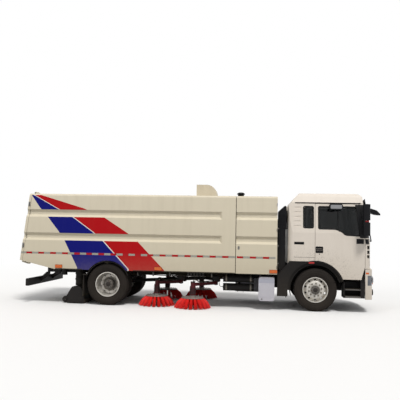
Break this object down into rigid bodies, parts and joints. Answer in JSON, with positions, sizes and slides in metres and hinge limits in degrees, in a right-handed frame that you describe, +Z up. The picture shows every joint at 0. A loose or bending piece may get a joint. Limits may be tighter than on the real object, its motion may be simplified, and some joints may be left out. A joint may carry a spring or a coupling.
{
  "type": "street sweeper truck",
  "caption": "Two-axle forward-control truck with a tipping sweeper hopper, front equipment housing, side brushes on swing arms and a rear suction nozzle.",
  "frame": {"origin": "on the ground under the middle of the truck's outer box", "axes": "+X forward, +Y to the driver's left, +Z up"},
  "size_m": [8.74, 3.17, 3.05],
  "materials": {
    "body_paint": "satin",
    "cab_paint": "gloss",
    "chassis_paint": "satin",
    "black_plastic": "matt",
    "rim_paint": "satin",
    "tyre": "matt",
    "glass": "clear",
    "lamp_lens": "gloss",
    "marker_lens": "gloss",
    "tank_paint": "satin",
    "cast_iron": "rough",
    "cylinder_steel": "ground",
    "arm_paint": "satin",
    "brush_fibre": "bristles",
    "seat_fabric": "woven",
    "trim_grey": "grained"
  },
  "bodies": {
    "chassis": {"chassis_rails": "chassis_paint", "cross_members": "chassis_paint", "front_axle": "cast_iron", "rear_axle": "cast_iron", "leaf_springs": "chassis_paint", "engine_block": "cast_iron", "drive_shaft": "chassis_paint", "fuel_tank": "tank_paint", "side_tank": "tank_paint", "air_tanks": "chassis_paint", "front_bumper": "cab_paint", "lamps": "lamp_lens", "cab_steps": "black_plastic", "mudguards": "black_plastic", "rear_bumper": "chassis_paint", "suction_nozzle": "chassis_paint", "suction_ducts": "black_plastic", "cab_shell": "cab_paint", "cab_roof": "cab_paint", "cab_glass": "glass", "mirrors": "black_plastic", "sun_visor": "black_plastic", "seats": "seat_fabric", "dashboard": "trim_grey", "air_intake": "black_plastic", "equipment_housing": "body_paint", "aux_engine": "cast_iron", "rain_cap": "black_plastic"},
    "hopper_body": {"hopper": "body_paint", "exhaust_hood": "body_paint", "side_markers": "marker_lens"},
    "tailgate_body": {"tailgate": "body_paint"},
    "lift_barrel": {"lift_barrels": "chassis_paint"},
    "lift_rod": {"lift_rods": "cylinder_steel"},
    "right_door": {"door_right": "cab_paint", "door_glass_right": "glass", "kerb_mirror": "black_plastic"},
    "left_door": {"door_left": "cab_paint", "door_glass_left": "glass"},
    "knuckle_left_body": {"knuckle_left": "cast_iron"},
    "wheel_front_left": {"tyre_front_left": "tyre", "rim_front_left": "rim_paint"},
    "wheel_rear_left": {"tyres_rear_left": "tyre", "rims_rear_left": "rim_paint"},
    "arm_front_left": {"brush_arm_front_left": "arm_paint"},
    "sweep_front_left": {"brush_front_left": "brush_fibre"},
    "arm_rear_left": {"brush_arm_rear_left": "arm_paint"},
    "sweep_rear_left": {"brush_rear_left": "brush_fibre"},
    "knuckle_right_body": {"knuckle_right": "cast_iron"},
    "wheel_front_right": {"tyre_front_right": "tyre", "rim_front_right": "rim_paint"},
    "wheel_rear_right": {"tyres_rear_right": "tyre", "rims_rear_right": "rim_paint"},
    "arm_front_right": {"brush_arm_front_right": "arm_paint"},
    "sweep_front_right": {"brush_front_right": "brush_fibre"},
    "arm_rear_right": {"brush_arm_rear_right": "arm_paint"},
    "sweep_rear_right": {"brush_rear_right": "brush_fibre"}
  },
  "joints": [
    {"name": "hopper_tip", "type": "hinge", "parent": "chassis", "child": "hopper_body", "pos_m": [-3.83, 0, 0.985], "axis": [0, -1, 0], "range_deg": [0, 45]},
    {"name": "tailgate_hinge", "type": "hinge", "parent": "hopper_body", "child": "tailgate_body", "pos_m": [-4.143, 0, 2.738], "axis": [0, 1, 0], "range_deg": [0, 70]},
    {"name": "cylinder_swing", "type": "hinge", "parent": "chassis", "child": "lift_barrel", "pos_m": [-1.855, 0, 0.775], "axis": [0, -1, 0], "range_deg": [0, 71.51]},
    {"name": "cylinder_stroke", "type": "slide", "parent": "lift_barrel", "child": "lift_rod", "axis": [0.9813, 0, 0.1926], "range_m": [0, 1.247]},
    {"name": "right_door_hinge", "type": "hinge", "parent": "chassis", "child": "right_door", "pos_m": [3.99, -1.15, 1.6], "axis": [0, 0, 1], "range_deg": [0, 65]},
    {"name": "left_door_hinge", "type": "hinge", "parent": "chassis", "child": "left_door", "pos_m": [3.99, 1.15, 1.6], "axis": [0, 0, -1], "range_deg": [0, 65]},
    {"name": "steer_left", "type": "hinge", "parent": "chassis", "child": "knuckle_left_body", "pos_m": [2.845, 0.86, 0.505], "axis": [0, 0, 1], "range_deg": [-35, 35]},
    {"name": "roll_front_left", "type": "hinge", "parent": "knuckle_left_body", "child": "wheel_front_left", "pos_m": [2.845, 1.011, 0.505], "axis": [0, 1, 0], "continuous": true},
    {"name": "roll_rear_left", "type": "hinge", "parent": "chassis", "child": "wheel_rear_left", "pos_m": [-2.155, 0.9075, 0.505], "axis": [0, 1, 0], "continuous": true},
    {"name": "arm_front_left_swing", "type": "hinge", "parent": "chassis", "child": "arm_front_left", "pos_m": [0.445, 0.5, 0.555], "axis": [0, 0, 1], "range_deg": [0, 12]},
    {"name": "brush_front_left_spin", "type": "hinge", "parent": "arm_front_left", "child": "sweep_front_left", "pos_m": [-0.065, 1.13, 0.25], "axis": [0, 0, 1], "continuous": true},
    {"name": "arm_rear_left_swing", "type": "hinge", "parent": "chassis", "child": "arm_rear_left", "pos_m": [-0.455, 0.35, 0.555], "axis": [0, 0, 1], "range_deg": [0, 20.05]},
    {"name": "brush_rear_left_spin", "type": "hinge", "parent": "arm_rear_left", "child": "sweep_rear_left", "pos_m": [-0.985, 0.85, 0.25], "axis": [0, 0, 1], "continuous": true},
    {"name": "steer_right", "type": "hinge", "parent": "chassis", "child": "knuckle_right_body", "pos_m": [2.845, -0.86, 0.505], "axis": [0, 0, 1], "range_deg": [-35, 35]},
    {"name": "roll_front_right", "type": "hinge", "parent": "knuckle_right_body", "child": "wheel_front_right", "pos_m": [2.845, -1.011, 0.505], "axis": [0, 1, 0], "continuous": true},
    {"name": "roll_rear_right", "type": "hinge", "parent": "chassis", "child": "wheel_rear_right", "pos_m": [-2.155, -0.9075, 0.505], "axis": [0, 1, 0], "continuous": true},
    {"name": "arm_front_right_swing", "type": "hinge", "parent": "chassis", "child": "arm_front_right", "pos_m": [0.445, -0.5, 0.555], "axis": [0, 0, -1], "range_deg": [0, 12]},
    {"name": "brush_front_right_spin", "type": "hinge", "parent": "arm_front_right", "child": "sweep_front_right", "pos_m": [-0.065, -1.13, 0.25], "axis": [0, 0, 1], "continuous": true},
    {"name": "arm_rear_right_swing", "type": "hinge", "parent": "chassis", "child": "arm_rear_right", "pos_m": [-0.455, -0.35, 0.555], "axis": [0, 0, -1], "range_deg": [0, 20.05]},
    {"name": "brush_rear_right_spin", "type": "hinge", "parent": "arm_rear_right", "child": "sweep_rear_right", "pos_m": [-0.985, -0.85, 0.25], "axis": [0, 0, 1], "continuous": true}
  ],
  "couplings": [
    {"joint": "cylinder_swing", "follows": "hopper_tip", "ratio": 1.589},
    {"joint": "cylinder_stroke", "follows": "hopper_tip", "m_per_rad": 1.5865},
    {"joint": "steer_right", "follows": "steer_left", "ratio": 1},
    {"joint": "arm_rear_left_swing", "follows": "arm_front_left_swing", "ratio": 1.6667},
    {"joint": "arm_rear_right_swing", "follows": "arm_front_right_swing", "ratio": 1.6667}
  ]
}
